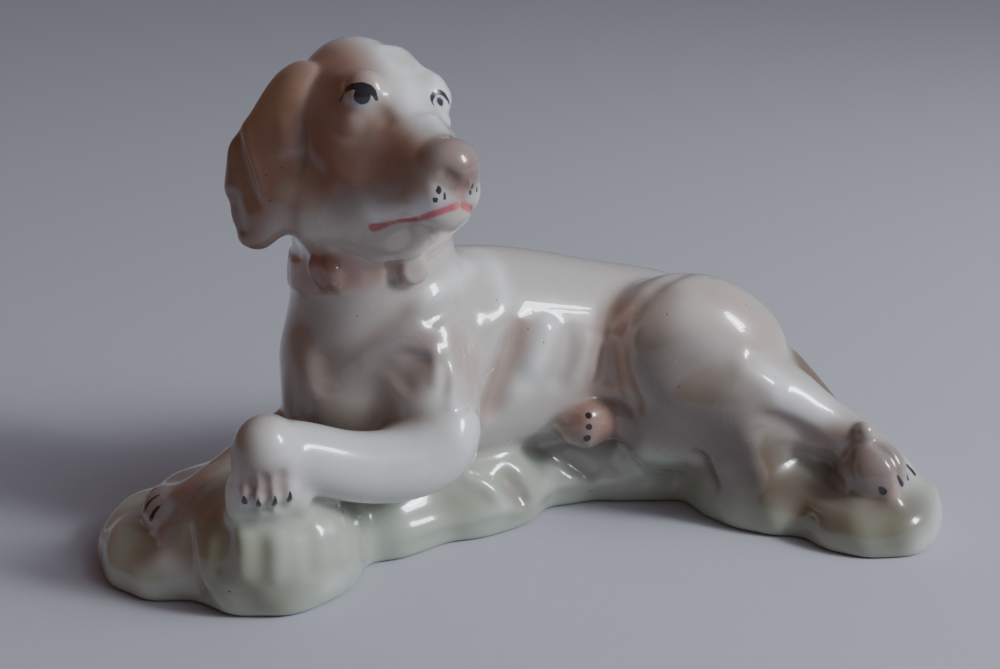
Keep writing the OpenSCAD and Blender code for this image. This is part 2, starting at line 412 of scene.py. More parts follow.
# %% Model the face
for side in (-1, 1):
    stroke(HEAD, [(4, 15.5 * side, 8), (9, 13.5 * side, 10.5), (14, 10 * side, 10.5),
                  (18.5, 6 * side, 8)], 2.8, -0.55)
    puff(HEAD, (1, 16 * side, 3), 5.0, 0.8)
    puff(HEAD, (12.6, 13.4 * side, 3.6), 2.8, -0.7)
    puff(HEAD, (12.6, 13.4 * side, -1.4), 2.9, -0.8)
    stroke(HEAD, [(8.4, 14.4 * side, 1.6), (11.4, 14 * side, 5.8), (14.6, 12.2 * side, 7),
                  (17, 9.4 * side, 4)], 0.8, 0.3)
    stroke(HEAD, [(7.5, 15 * side, -2), (10.6, 14.6 * side, -5.4), (15, 12.6 * side, -5),
                  (17.8, 9.8 * side, -1.4)], 1.3, 0.45)
    stroke(HEAD, [(20, 10.5 * side, -26), (27.9, 8 * side, -23), (36.9, 6.4 * side, -19.7),
                  (39.5, 1.4 * side, -17.4)], 0.9, 0.9, 0.1)
    stroke(HEAD, [(22, 11 * side, -22), (29, 8.6 * side, -19.5), (36, 7 * side, -16.5)], 2.0, -0.6)
    stroke(HEAD, [(4, 17 * side, -9), (10, 16 * side, -13), (15, 14.5 * side, -19)], 3.0, -0.5)
stroke(HEAD, [(2, 0.5, 15), (9, 0.3, 13.5), (16, 0, 9)], 2.4, 0.7)
stroke(HEAD, [(16, -10.5, 4), (18.5, -8.4, 0), (21, -8, -3)], 2.2, 0.8)
stroke(HEAD, [(12, 14, -2), (17, 10.5, -2), (22, 8.4, -4), (27, 7, -6)], 3.4, -1.4, 0.25)
stroke(HEAD, [(6, 15.5, 7), (12, 13, 4), (17, 10.5, 0), (20, 9.4, -3)], 5.0, -1.5, 0.25)
stroke(HEAD, [(-1, 6, 14.5), (6, 7, 12.5), (13, 8, 9)], 5.5, -2.2, 0.35)
stroke(HEAD, [(22, 0, 1), (27, 0, -1.2), (31, 0, -2.8)], 3.6, -1.1)
puff(HEAD, (20, 0, 3), 3.6, 0.7)
print("face modelled")

# %% [markdown]
# The nose is one egg of clay on the end of the muzzle. The strokes cut the nostrils and the groove below
# them and raise the pads of the upper lip, and two more eggs fill the throat between jaw and neck.

# %% Model the nose and the muzzle
blob(HEAD, (34.8, 0, -8.6), (5.6, 6.4, 5.5), 3.6)
for side in (-1, 1):
    stroke(HEAD, [(37.4, 5 * side, -9.6), (39.4, 3.6 * side, -10.2), (40.4, 2 * side, -11.8)], 0.9, 1.5, 0.2)
    stroke(HEAD, [(36, 6.4 * side, -11), (32, 6.6 * side, -8.6), (30, 4.6 * side, -4.6),
                  (29.4, 0, -3)], 1.5, 0.2)
    puff(HEAD, (36.8, 5.8 * side, -14.6), 3.0, -0.8)
    stroke(HEAD, [(36.2, 6 * side, -12.6), (39, 3.8 * side, -13.6), (40, 0.4 * side, -14)], 0.9, 0.6)
stroke(HEAD, [(40.4, 0, -12), (40, 0, -15), (39.2, 0, -18)], 0.8, 0.9, 0.15)
blob(FIGURE, (-51, -8, 93), (9, 8, 9), 8.0)
blob(FIGURE, (-38, -9, 92), (11, 9, 8), 6.0)
print("nose modelled")

# %% [markdown]
# Each ear hangs as a rolled front fold over a thinner lobe behind it, with a sharp ridge between the two.

# %% Model the ears
for side in (-1, 1):
    ridge = [(-16.5, 24 * side, -5), (-11.8, 25.6 * side, -12.8), (-8, 25 * side, -19.5),
             (-5, 23.6 * side, -26.5)]
    behind = [(x - 2.6, y * 1.01, z - 1.6) for x, y, z in ridge]
    stroke(HEAD, behind, 2.4, 1.7, 0.25)
    stroke(HEAD, ridge, 1.2, -0.9, 0.2)
    stroke(HEAD, [(-5, 20.8 * side, -2), (-3, 21 * side, -8), (-1.6, 19.6 * side, -14)], 3.0, -0.9)
    stroke(HEAD, [(-1, 18 * side, -3), (0.6, 17.6 * side, -10), (0.8, 17 * side, -17)], 1.0, 0.9)
    stroke(HEAD, [(-17, 28 * side, -23), (-15, 28 * side, -30), (-13, 26 * side, -37)], 4.0, 2.6)
    puff(HEAD, (-18, 26 * side, -12), 5.0, -1.8)
print("ears modelled")

# %% [markdown]
# The trunk is modelled in long soft folds: shoulder blade and upper arm, the hollow behind the elbow, ribs,
# the loose skin of the flank, and the line where the haunch lies against the back.

# %% Model the trunk
FOLDS = [
    ([(-1, -4, 61), (-4, -7, 54), (-6.5, -9.5, 47), (-10, -10.5, 39), (-13, -11, 33)], 3.6, 2.6),
    ([(-8, 12, 74), (-7, 3, 71), (-6, -2, 65), (-8, -6, 59)], 3.0, -0.9),
    ([(-13, 4, 73), (-20, -9, 73), (-27, -15, 71), (-36, -17, 68)], 2.2, -1.3),
    ([(-16, -6, 69), (-23, -14, 67.5), (-31, -18, 65)], 2.4, 1.0),
    ([(-24, -15, 68), (-35, -18, 63), (-42, -16, 58), (-51, -15, 50)], 3.4, -1.2),
    ([(-31, -20, 61), (-33, -21, 55), (-38, -20, 49)], 4.0, 1.8),
    ([(-52, -12, 62), (-54, -13, 54), (-52, -15, 46)], 3.4, 0.8),
    ([(-28, -20, 62), (-26, -22, 56), (-28, -23, 49)], 1.7, -1.0),
    ([(-24, -21, 57), (-22.5, -23, 50), (-24, -25, 43)], 1.6, -0.9),
    ([(-26, -21.5, 59), (-24.5, -22.5, 53), (-26, -24, 46)], 1.2, 0.8),
    ([(8, -2, 61), (4.5, -5, 53), (-1, -8, 43)], 3.2, -1.7),
    ([(14, -2, 58), (11.5, -5, 48), (7, -6, 38)], 3.0, 1.1),
    ([(18, -3, 56), (15.5, -5, 47), (11.5, -6, 38)], 2.6, -0.7),
    ([(26, -3, 54), (24.5, -3, 45), (22, -3, 37)], 4.0, 1.4),
    ([(21.5, -3, 54), (20, -4, 47), (18.5, -4, 39)], 1.5, -1.3),
    ([(42, -2, 67), (31, -5, 62), (27, -6, 54), (26, -7, 46), (31, -6, 35), (38, 0, 24)], 2.2, 1.0),
    ([(32, -4, 65), (42, 0, 68), (52, 7, 67)], 1.8, 1.0),
    ([(52, -17, 50), (60, -19, 45), (68, -21, 39)], 3.8, -1.3),
    ([(56, -21, 37), (66, -22, 32), (72, -22, 29), (80, -24, 24)], 2.4, 1.6),
]
for points, width, depth in FOLDS:
    stroke(FIGURE, points, width, depth)
puff(FIGURE, (-11, -6, 61), 6.0, -1.2)
puff(FIGURE, (44, -16, 47), 8.0, 1.8)
puff(FIGURE, (-22, -27, 38), 5.0, -0.8)
print("folds on the trunk:", len(FOLDS))

# %% [markdown]
# The far side has the same anatomy in fewer and softer folds: shoulder, upper arm, ribs and thigh.

# %% Model the side turned away
FAR_FOLDS = [
    ([(-12, 38, 62), (-14, 43, 52), (-22, 43, 42)], 4.0, 1.6),
    ([(-34, 33, 66), (-40, 32, 56), (-44, 30, 46)], 3.6, 0.9),
    ([(2, 42, 58), (0, 44, 48), (-4, 43, 38)], 3.2, -1.0),
    ([(12, 42, 56), (11, 43, 46), (8, 42, 36)], 3.0, 0.8),
    ([(32, 39, 58), (30, 42, 48), (34, 43, 36)], 3.4, 1.2),
    ([(54, 36, 52), (64, 36, 42), (72, 30, 34)], 4.0, -0.8),
]
for points, width, depth in FAR_FOLDS:
    stroke(FIGURE, points, width, depth)
print("folds on the far side:", len(FAR_FOLDS))

# %% [markdown]
# The collar is a soft strap with a pressed buckle of two lobes, a crease and a small knob.

# %% Model the collar
stroke(FIGURE, [(-53.9, -14.5, 85), (-53.7, -14.7, 80), (-53.5, -14.9, 75)], 0.9, 0.8, 0.2)
stroke(FIGURE, [(-36.8, -17.4, 86), (-36.6, -17.4, 80.4), (-36.2, -17.4, 75.5)], 1.1, 1.3, 0.15)
puff(FIGURE, (-56.4, -12.2, 80), 2.4, -0.7)
puff(FIGURE, (-50.8, -16, 80), 2.4, -0.7)
blob(FIGURE, (-30.8, -17.2, 80), (3.4, 1.5, 3.6), 1.6)
puff(FIGURE, (-33.4, -16.6, 76.4), 1.3, -1.4)
for points in ([(-30, -36, 93), (-27, -28, 90), (-25, -20, 86)],
               [(-25, -34, 95), (-22.5, -25, 91), (-21, -15, 86)]):
    stroke(FIGURE, points, 1.3, -0.9)
print("collar modelled")

# %% [markdown]
# Paws: a round wrist, four toes with hollows between them, and the small knob of the hock.

# %% Model the paws
TOES = 4
blob(FIGURE, (-70, -33.4, 42.4), (7.6, 7.2, 8.6), 2.6)
blob(FIGURE, (-96, -8.6, 17.4), (5.4, 9, 5.2), 3.0)
blob(FIGURE, (60, -9, 21), (13, 12, 13), 7.0)
blob(FIGURE, (42, -1, 24), (12, 9, 12), 7.0)
blob(FIGURE, (91, -28.5, 19), (9, 8.6, 8), 2.6)
blob(FIGURE, (88.4, -26.6, 29.4), (2.8, 2.8, 2.8), 1.2)
stroke(FIGURE, [(84.5, -26, 28), (82, -30, 22), (85, -35, 15)], 1.6, 1.3)
for i in range(TOES):
    x = -76.6 + 3.9 * i
    puff(FIGURE, (x, -40.5, 33), 2.0, -1.4)
    if i < TOES - 1:
        gap = x + 1.9
        stroke(FIGURE, [(gap, -39, 40.5), (gap, -41, 36), (gap, -40.5, 31), (gap, -39, 27.5)], 1.0, 2.2, 0.2)
for i in (0.5, 1.5, 2.5):
    stroke(FIGURE, [(-90, -14.5 + 4.2 * i, 21), (-95, -17 + 4.3 * i, 18),
                    (-99.5, -19 + 4.4 * i, 12)], 1.0, 1.2)
    stroke(FIGURE, [(88 + i * 1.8, -29 + i * 1.6, 26), (91 + i * 2.8, -33 + i * 2.6, 21),
                    (92.5 + 3.8 * i, -38 + 3.6 * i, 15)], 1.0, 1.3)
blob(FIGURE, (17, -1.2, 28.6), (8.2, 7.2, 6.8), 2.6)
print("paws modelled")

# %% [markdown]
# The plinth is a heap of soft rock under a thick celadon glaze. It has drapery-like folds under the near
# paw, round lobes along the front edge, and gentle lumps everywhere else.

# %% Model the plinth
GROUND_FOLDS = [
    ([(-91, -20, 21), (-89.5, -26, 15), (-89, -29.5, 9), (-89, -31, 1)], 2.2, 1.8),
    ([(-86, -25, 21), (-85, -31, 14), (-84, -35, 6)], 2.2, -1.0),
    ([(-80.4, -32, 26), (-81.4, -36, 19), (-82.6, -37, 9)], 2.6, 1.0),
    ([(-76, -36, 25), (-76.8, -39, 18), (-78, -40, 9)], 2.2, -0.9),
    ([(-72.8, -37, 24), (-73, -40, 16), (-73.5, -41, 9)], 2.4, 0.3),
    ([(-69, -38, 25), (-69.2, -41, 17), (-69.4, -42, 8)], 2.4, -1.0),
    ([(-62, -34, 24), (-61.6, -38, 17), (-61.4, -39, 8)], 2.6, 0.7),
    ([(-55, -29, 23), (-54, -33, 16), (-53, -35, 9)], 3.0, -0.8),
    ([(-18, -14, 22), (-11, -12, 16), (-5, -11.5, 7)], 2.2, -1.5),
    ([(-8, -8, 20), (-2.5, -8, 13), (0, -7, 5)], 2.4, 1.8),
    ([(3, 0, 20), (10.5, 1, 13), (16, 0, 5)], 2.0, -1.4),
    ([(12, 4, 18), (19, 3, 11), (22, 2, 5)], 2.2, 1.3),
    ([(24, 2, 20), (30, 1, 13), (36, -2, 6)], 2.2, -1.2),
    ([(57, -20, 31), (60, -22, 22), (62, -24, 12)], 3.4, -1.0),
    ([(48, -12, 24), (50, -14, 16), (52, -15, 7)], 3.0, 1.2),
    ([(70, -26, 18), (80, -33, 12), (90, -38, 9)], 2.4, 0.8),
    ([(-30, 42, 20), (-28, 44, 12), (-27, 44, 4)], 2.6, 1.2),
    ([(16, 44, 20), (18, 45, 12), (19, 45, 4)], 2.6, 1.2),
    ([(60, 36, 20), (62, 38, 12), (63, 39, 4)], 2.6, 1.2),
]
blob(FIGURE, (-70, -29.5, 12), (17, 11.5, 16), 6.0)
for points, width, depth in GROUND_FOLDS:
    stroke(FIGURE, points, width, depth)
stroke(FIGURE, [(-42, -22, 8), (-26, -19, 8), (-10, -13.5, 8), (4, -7, 8), (18, -2, 7.5),
                (36, -4, 7)], 2.2, -1.1, 0.15)
stroke(FIGURE, [(86, -43, 6), (98, -40, 8), (106, -30, 9), (110, -20, 8)], 3.0, -0.9, 0.25)
puff(FIGURE, (-102, -19, 12), 4.0, 1.2)
puff(FIGURE, (-96, -24, 11), 3.0, -1.0)
puff(FIGURE, (57, -21, 29), 4.0, -1.0)
print("folds on the plinth:", len(GROUND_FOLDS))

# %% [markdown]
# Cast rock is never quite smooth, so three long waves, some 11 to 27 mm from crest to crest, cross each
# other in the lowest layer of clay and fade out towards the dog.

# %% Lumps in the rock
LUMP_DEPTH = 0.35
LUMP_TOP = 26
LUMP_FADE = 8
cut, _, x, y, z = window(plinth_low - 4, plinth_high + (4, 4, 1))
lumps = np.sin(0.23 * x + 0.6) * np.sin(0.29 * y + 1.1) + 0.6 * np.sin(0.41 * x - 0.33 * y + 0.2 * z)
clay[cut] += (LUMP_DEPTH * lumps * np.clip((LUMP_TOP - z) / LUMP_FADE, 0, 1)).astype(np.float32)
print("lumps up to", round(LUMP_DEPTH * float(np.abs(lumps).max()), 2), "mm")

# %% [markdown]
# The foot is ground flat where the figure stands, with a shallow recess inside the foot rim and the round
# vent that lets air out of the casting in the kiln.

# %% Foot, recess and vent
FOOT_WIDTH = 6.0
RECESS = 0.8
VENT_RADIUS = 4.0
VENT_DEPTH = 16
RIM_HEIGHT = 2.4
SOFT_EDGE = 0.8
FOOT_ROUNDING = 0.6
vent = (plinth_low + plinth_high) / 2 + np.array([14, 24, 0])
cut, _, x, y, z = window(low, (high[0], high[1], 24))
base_cut, rim = skins["base"]
flat = np.full(clay.shape[:2], BAND, np.float32)
level = int(round((RIM_HEIGHT - low[2]) / VOXEL)) - base_cut[2].start
flat[base_cut[0], base_cut[1]] = rim[:, :, level]
recess = np.maximum(flat[:, :, None] + FOOT_WIDTH - FOOT_ROUNDING, z - RECESS)
hole = np.maximum(np.hypot(x - vent[0], y - vent[1]) - VENT_RADIUS, z - VENT_DEPTH)
clay[cut] = soft_cut(clay[cut], z, 2 * SOFT_EDGE)
clay[cut] = soft_cut(clay[cut], recess, SOFT_EDGE)
clay[cut] = soft_cut(clay[cut], hole, SOFT_EDGE)
print("vent at", vent.round(1)[:2], "radius", VENT_RADIUS, "mm")

# %% [markdown]
# The last thing before the kiln is the glaze: it levels every tiny ripple, so the clay is blurred once more
# by about its thickness. A much wider blur tells ridges from hollows, because glaze and colour gather in
# hollows.

# %% Glaze thickness
GLAZE = 0.5
POOLING = 2.2
HALF = 2
clay = blur(clay, GLAZE)
points, quads = surface(clay, (0, 0, 0))
print("surface:", len(points), "points,", len(quads), "quads")
normals = facing(points)
corners = points[quads]
across = np.cross(corners[:, 2] - corners[:, 0], corners[:, 3] - corners[:, 1])
if (across * normals[quads[:, 0]]).sum() < 0:
    quads = quads[:, ::-1]
places = points * VOXEL + low
wide = blur(clay[::HALF, ::HALF, ::HALF], POOLING, VOXEL * HALF)
pool = sampled(wide, points / HALF)
print("span:", places.min(0).round(1), places.max(0).round(1))
print("ridges and hollows:", pool.min().round(2), pool.max().round(2), "mm")

# %% [markdown]
# The one skin is cut along the joints of the castings, so the pieces meet without a step and share the
# skin's normals. Inside, the plinth is closed by a floor, the trunk by a sheet down to its middle line, and
# every other piece by an inner skin, as a slip casting is.

# %% Cut the skin into the castings
names = list(CASTINGS)
middle = points[quads].mean(1)
reach = np.full((len(quads), len(names)), BAND, np.float32)
for column, name in enumerate(names):
    cut, field = skins[name]
    start = np.array([c.start for c in cut])
    inside = ((middle >= start) & (middle < start + np.array(field.shape) - 1)).all(1)
    reach[inside, column] = sampled(field, middle[inside] - start)
label = reach.argmin(1)
print("faces by nearest casting:", dict(zip(names, np.bincount(label, minlength=len(names)).tolist())))

# %% [markdown]
# Cut that way, the joints are ragged and small islands are left. In each round every face asks its four
# neighbours which casting they belong to and goes with the most, and its own voice counts a little more.

# %% Straighten the joints
ROUNDS = 12
OWN_VOICE = 1.1
edges = np.sort(np.stack([quads, np.roll(quads, -1, 1)], -1).reshape(-1, 2), 1)
key = edges[:, 0].astype(np.int64) * len(points) + edges[:, 1]
order = np.argsort(key, kind="stable")
owner = np.repeat(np.arange(len(quads)), 4)[order]
same = key[order][1:] == key[order][:-1]
left_side = owner[:-1][same]
right_side = owner[1:][same]
for _ in range(ROUNDS):
    votes = np.zeros((len(quads), len(names)), np.float32)
    votes[np.arange(len(quads)), label] = OWN_VOICE
    np.add.at(votes, (left_side, label[right_side]), 1)
    np.add.at(votes, (right_side, label[left_side]), 1)
    label = votes.argmax(1)
print("faces after", ROUNDS, "rounds:", dict(zip(names, np.bincount(label, minlength=len(names)).tolist())))

# %% [markdown]
# The open edge of each cut piece is walked round once, and each closed loop of it is closed later, inside
# the figure, where nothing of it shows.

# %% Walk the edges
def rims(faces):
    one_way = np.stack([faces, np.roll(faces, -1, 1)], -1).reshape(-1, 2)
    there = set(map(tuple, one_way.tolist()))
    open_edges = [e for e in there if (e[1], e[0]) not in there]
    ahead = {}
    for a, b in sorted(open_edges):
        ahead.setdefault(a, []).append(b)
    loops = []
    for start in sorted(ahead):
        while ahead[start]:
            trail = [start]
            while True:
                following = ahead[trail[-1]].pop()
                if following in trail:
                    turn = trail.index(following)
                    loops.append(trail[turn:])
                    trail = trail[:turn + 1]
                    if turn == 0:
                        break
                else:
                    trail.append(following)
    return loops


# %% [markdown]
# Colour is air-brushed under the glaze: every spray is a soft cloud along a line, on one piece or on all.
# Eyes, whisker dots, claws and mouth are painted with a fine brush, so they are kept as distances to the
# brush line and the shader turns them into crisp edges.

# %% Colours under the glaze
def srgb(code):
    parts = [int(code[i:i + 2], 16) / 255 for i in (0, 2, 4)]
    return [p / 12.92 if p <= 0.04045 else ((p + 0.055) / 1.055) ** 2.4 for p in parts]


WHITE = "DCDEDC"
PEARL = "B8B2AA"
BROWN = "8C6857"
DEEP = "624A3C"
TAN = "A58467"
ROSE = "A27A69"
TAUPE = "7F7168"
UMBER = "665B4E"
SMOKE = "968C84"
OLIVE = "7E745A"
CELADON = "A6AD9D"
MOSS = "84846C"
NOSE = "6A4738"
GROUNDS = {"base": CELADON, "body": PEARL, "head": PEARL, "ear_right": "9C806F", "ear_left": "9C806F",
           "foreleg_left": "C6C7C3", "foreleg_right": SMOKE, "hindleg_left": PEARL, "hindleg_right": TAUPE,
           "tail": "6F5D4E", "collar": "B99586", "collar_buckle": BROWN, "collar_ring": ROSE}
owner_of = np.zeros(len(places), int)
for column in range(len(names)):
    owner_of[np.unique(quads[label == column])] = column
colour = np.array([srgb(GROUNDS[name]) for name in names])[owner_of]
print("ground colours on", len(GROUNDS), "castings")


# %% [markdown]
# A spray mixes its colour in by a share that falls off round its line. A brush line only leaves its
# distance, less the half width of the brush, so that below zero is paint.

# %% Spray and brush
SPRAY_EDGE = 2.4
BRUSH_EDGE = 5
UNPAINTED = 4.0


def gap_to(line, radii, spots):
    return along(line, radii, spots[:, 0], spots[:, 1], spots[:, 2])[0]


def spray(place, line, radius, code, amount, only=None):
    line = curve(at_place(place, line), 3)
    edge = SPRAY_EDGE * radius
    near = ((places > line.min(0) - edge) & (places < line.max(0) + edge)).all(1)
    if only:
        near &= np.isin(owner_of, [names.index(n) for n in only])
    gap = gap_to(line, np.zeros(len(line)), places[near]) / radius
    share = (amount * np.exp(-gap ** 2 * np.maximum(gap, 0.6)))[:, None]
    colour[near] = colour[near] * (1 - share) + np.array(srgb(code)) * share


def brushed(marks, layer):
    for place, line in marks:
        line = np.array(line, float)
        radii = curve(line[:, 3:], 4)[:, 0] if len(line) > 1 else line[:, 3]
        track = snapped(curve(at_place(place, line[:, :3]), 4))
        near = ((places > track.min(0) - BRUSH_EDGE) & (places < track.max(0) + BRUSH_EDGE)).all(1)
        layer[near] = np.minimum(layer[near], gap_to(track, radii, places[near]))


# %% [markdown]
# The plinth is sprayed with earth tones where the dog's shade falls and between the folds, and white on its
# ridges, lumps and edges is painted highlight.

# %% Spray the plinth
GROUND = ("base",)
for line, radius, code, amount in (
        ([(52, -16, 16), (66, -26, 18), (80, -34, 16), (94, -40, 12)], 11, UMBER, 0.8),
        ([(62, -22, 20), (68, -26, 14), (74, -30, 8)], 6, UMBER, 0.7),
        # painted highlight on the rim of the right end
        ([(98, -42, 4), (108, -34, 6), (112, -22, 8)], 4, WHITE, 0.5),
        # painted highlight along the plinth under the belly
        ([(10, 1, 12), (24, 2, 9), (34, 0, 9)], 5, WHITE, 0.35),
        ([(62, -27, 8), (76, -37, 7), (90, -43, 6)], 6, MOSS, 0.5),
        # painted highlight on the lump under the haunch
        ([(52, -20, 30), (58, -22, 26)], 4, WHITE, 0.75),
        ([(4, -2, 25), (20, -4, 24), (34, -4, 24)], 4, TAUPE, 0.45),
        ([(-102, -19, 13), (-98, -16, 16)], 5, OLIVE, 0.65),
        ([(-88, -14, 24), (-84, -22, 24), (-82, -31, 19), (-82, -35, 11)], 5.5, UMBER, 0.7),
        ([(-80, -33, 21), (-76, -38, 14), (-72, -40, 8)], 8.0, MOSS, 0.75),
        ([(-62, -32, 22), (-62, -37, 13)], 3.2, MOSS, 0.35),
        ([(-62, -6, 32), (-52, -12, 32), (-40, -14, 30)], 6, TAUPE, 0.75),
        ([(-4, -8, 15), (-1, -7, 9)], 3.5, TAUPE, 0.7),
        ([(-24, -16, 14), (-16, -14, 12)], 5, MOSS, 0.5),
        ([(14, 4, 16), (20, 3, 10)], 3.5, TAUPE, 0.5),
        # these five whites are painted highlights on ridges of the plinth and on its front rim
        ([(-76, -33, 22), (-77, -38, 13)], 2.0, WHITE, 0.4),
        ([(-69, -35, 22), (-70, -40, 12)], 2.4, WHITE, 0.45),
        ([(-96, -24, 11), (-92, -27, 9)], 3.2, WHITE, 0.6),
        ([(-56, -38, 6), (-50, -36, 4)], 3, WHITE, 0.5),
        ([(-14, -14, 16), (-6, -12, 7)], 2.4, WHITE, 0.5),
        ([(-60, 30, 24), (-20, 40, 22), (30, 42, 22), (70, 30, 22)], 6, TAUPE, 0.45),
        # painted highlight on the right end
        ([(100, -26, 10), (104, -12, 10)], 6, WHITE, 0.45)):
    spray(FIGURE, line, radius, code, amount, GROUND)
print("plinth sprayed, mean colour", colour[owner_of == 0].mean(0).round(2))

# %% [markdown]
# The coat is pearl white with thin brown and grey clouds: in the grooves behind the shoulder, on the ribs,
# on the flank and the haunch. The brown on the chest is partly painted shade, and the white on the ridges,
# the knee and the elbow is painted highlight.

# %% Spray the coat
COAT = ("body", "foreleg_left", "foreleg_right", "hindleg_left", "tail", "collar", "head")
for line, radius, code, amount in (
        ([(0, -4, 59), (-5, -8, 50), (-10, -10, 40)], 4.5, BROWN, 0.75),
        ([(27, -3, 57), (25, -3, 46), (22, -3, 36)], 7.0, "A98775", 0.8),
        ([(38, -5, 64), (35, -8, 56), (33, -10, 46), (36, -10, 34)], 5.0, TAUPE, 0.65),
        ([(37, -11, 48), (42, -16, 41), (50, -18, 35), (62, -21, 32)], 10.0, UMBER, 0.8),
        ([(34, -6, 28), (44, -14, 26), (54, -20, 24), (62, -24, 20), (70, -28, 18)], 8.0, UMBER, 0.7),
        ([(60, -16, 40), (70, -20, 34), (78, -24, 28)], 4.0, TAUPE, 0.5),
        ([(56, -16, 18), (63, -20, 17), (72, -26, 14)], 8.0, UMBER, 0.85),
        ([(54, -10, 62), (66, -12, 55)], 9.0, ROSE, 0.34),
        ([(36, 2, 67), (46, 4, 68), (54, 6, 66)], 4.0, SMOKE, 0.35),
        ([(-31, -20, 60), (-34, -21, 54), (-38, -20, 48)], 5.5, TAUPE, 0.55),
        # this and the next: brown on the chest, partly its own colour and partly painted shade of the side
        # turned to the dim room
        ([(-56, -8, 66), (-56, -10, 56), (-54, -12, 46)], 6.5, TAUPE, 0.5),
        ([(-62, -4, 42), (-52, -14, 38), (-42, -18, 40), (-32, -22, 42)], 4.5, TAUPE, 0.7),
        ([(-20, -18, 60), (-18, -16, 52)], 5.0, ROSE, 0.35),
        ([(-38, 34, 60), (-20, 42, 52), (10, 43, 52)], 9.0, SMOKE, 0.6),
        ([(34, 40, 52), (50, 38, 50)], 9.0, TAUPE, 0.55),
        ([(76, -24, 28), (82, -28, 25), (85, -32, 20), (90, -36, 17)], 4.5, BROWN, 0.7),
        ([(76, 13, 40), (84, 2, 31), (90, -8, 24)], 3.6, BROWN, 0.6),
        # faint painted highlight on the top of the haunch
        ([(46, -10, 61), (50, -13, 55)], 5.0, WHITE, 0.15),
        # painted highlight on the knee
        ([(64, -19, 46), (70, -21, 40), (78, -22, 35)], 4.5, WHITE, 0.75),
        # brown on the chest, partly its own colour and partly painted shade
        ([(-48, -14, 46), (-40, -16, 52), (-35, -18, 62), (-28, -17, 60)], 7.0, TAUPE, 0.5),
        # these four: white on the ridges of the ribs, withers, neck and chest, partly the coat's own white
        # and partly painted highlight
        ([(8, -2, 61), (4, -5, 53), (-1, -8, 43)], 4.0, WHITE, 0.65),
        ([(-8, 12, 74), (-7, 3, 71), (-6, -2, 65)], 4.0, WHITE, 0.7),
        ([(-14, 3, 74), (-20, -8, 73), (-27, -15, 71)], 3.5, WHITE, 0.8),
        ([(-26, -15, 68), (-36, -18, 62)], 3.0, WHITE, 0.35),
        # this and the next: more brown and grey on the chest, partly painted shade
        ([(-30, -18, 66), (-38, -18, 58), (-46, -16, 54)], 7.0, TAUPE, 0.5),
        ([(-58, -6, 72), (-60, -6, 60), (-58, -8, 48)], 7.0, SMOKE, 0.5),
        # painted highlight on the elbow
        ([(-14, -24, 34), (-18, -28, 40), (-24, -27, 48)], 5.0, WHITE, 0.6)):
    spray(FIGURE, line, radius, code, amount, COAT)
print("coat sprayed, mean colour", colour[owner_of == 1].mean(0).round(2))

# %% [markdown]
# The head has a brown mask over skull and cheeks, a white blaze between the eyes, a darker nose and white
# lips.

# %% Spray the head
SKULL = ("head", "ear_right", "ear_left")
for side in (-1, 1):
    for line, radius, code, amount in (
            ([(-16, 7, 6), (-8, 12, 12), (0, 11.5, 13), (6, 12, 9), (10, 14.5, 6)], 7.5, BROWN, 0.92),
            ([(2, 17, 2), (4, 17.5, -6), (8, 16.5, -14)], 8.0, BROWN, 0.72),
            ([(8, 16, -8), (12, 15.4, -13), (18, 12.4, -11), (25, 8.6, -11)], 8.0, BROWN, 0.8),
            ([(18.5, 9, -1), (24, 7, -5), (30, 6, -7.6)], 3.8, BROWN, 0.85),
            ([(17.6, 9.6, 1.2), (18.6, 8.8, -1)], 1.8, OLIVE, 0.5),
            ([(14, 14, -22), (20, 13, -19), (26, 9.4, -17.4), (31, 7.4, -14)], 4.0, TAUPE, 0.6),
            ([(12.8, 13.2, -1.6)], 3.4, ROSE, 0.45),
            ([(11.6, 13.8, 3.2), (15.6, 11.4, 2.8)], 1.7, PEARL, 0.6),
            ([(22, 10.6, -23), (29, 8.4, -20.4), (35.4, 7, -17)], 2.6, WHITE, 0.95),
            ([(36.6, 5.8, -14.4), (38.8, 3, -14.4)], 2.6, WHITE, 0.95)):
        spray(HEAD, [(x, y * side, z) for x, y, z in line], radius, code, amount, SKULL)
for line, radius, code, amount in (
        ([(-6, 3, 15), (4, 2, 15), (12, 0.6, 12), (18, 0, 7), (24, -0.6, 1.6), (30, -0.4, -2)], 4.0, WHITE,
         0.95),
        ([(9, 8, 10.5), (15, 9.4, 6), (18, 8.6, 0)], 5.0, WHITE, 0.9),
        ([(7.7, 6.4, 11.4), (10.6, 4.6, 11.4)], 2.4, SMOKE, 0.6),
        ([(20, 8.4, -3), (27, 6, -5)], 4.0, WHITE, 0.85)):
    spray(HEAD, line, radius, code, amount, SKULL)
spray(HEAD, [(33, 0, -7), (36, 0, -8.4), (37.6, 0, -10.4)], 7.2, NOSE, 1.0, SKULL)
for side in (-1, 1):
    spray(HEAD, [(38.4, 4.4 * side, -10), (40, 2.6 * side, -11.4)], 1.6, DEEP, 0.9, SKULL)
spray(HEAD, [(40, 0, -13.4), (39.8, 0, -15.6)], 1.4, ROSE, 0.7, SKULL)
print("head sprayed, mean colour", colour[owner_of == 2].mean(0).round(2))

# %% [markdown]
# Small sprays follow on the ears, the strap and the paws. The last thing is to let every colour run a
# little into its neighbours, as it does when the glaze melts over it.

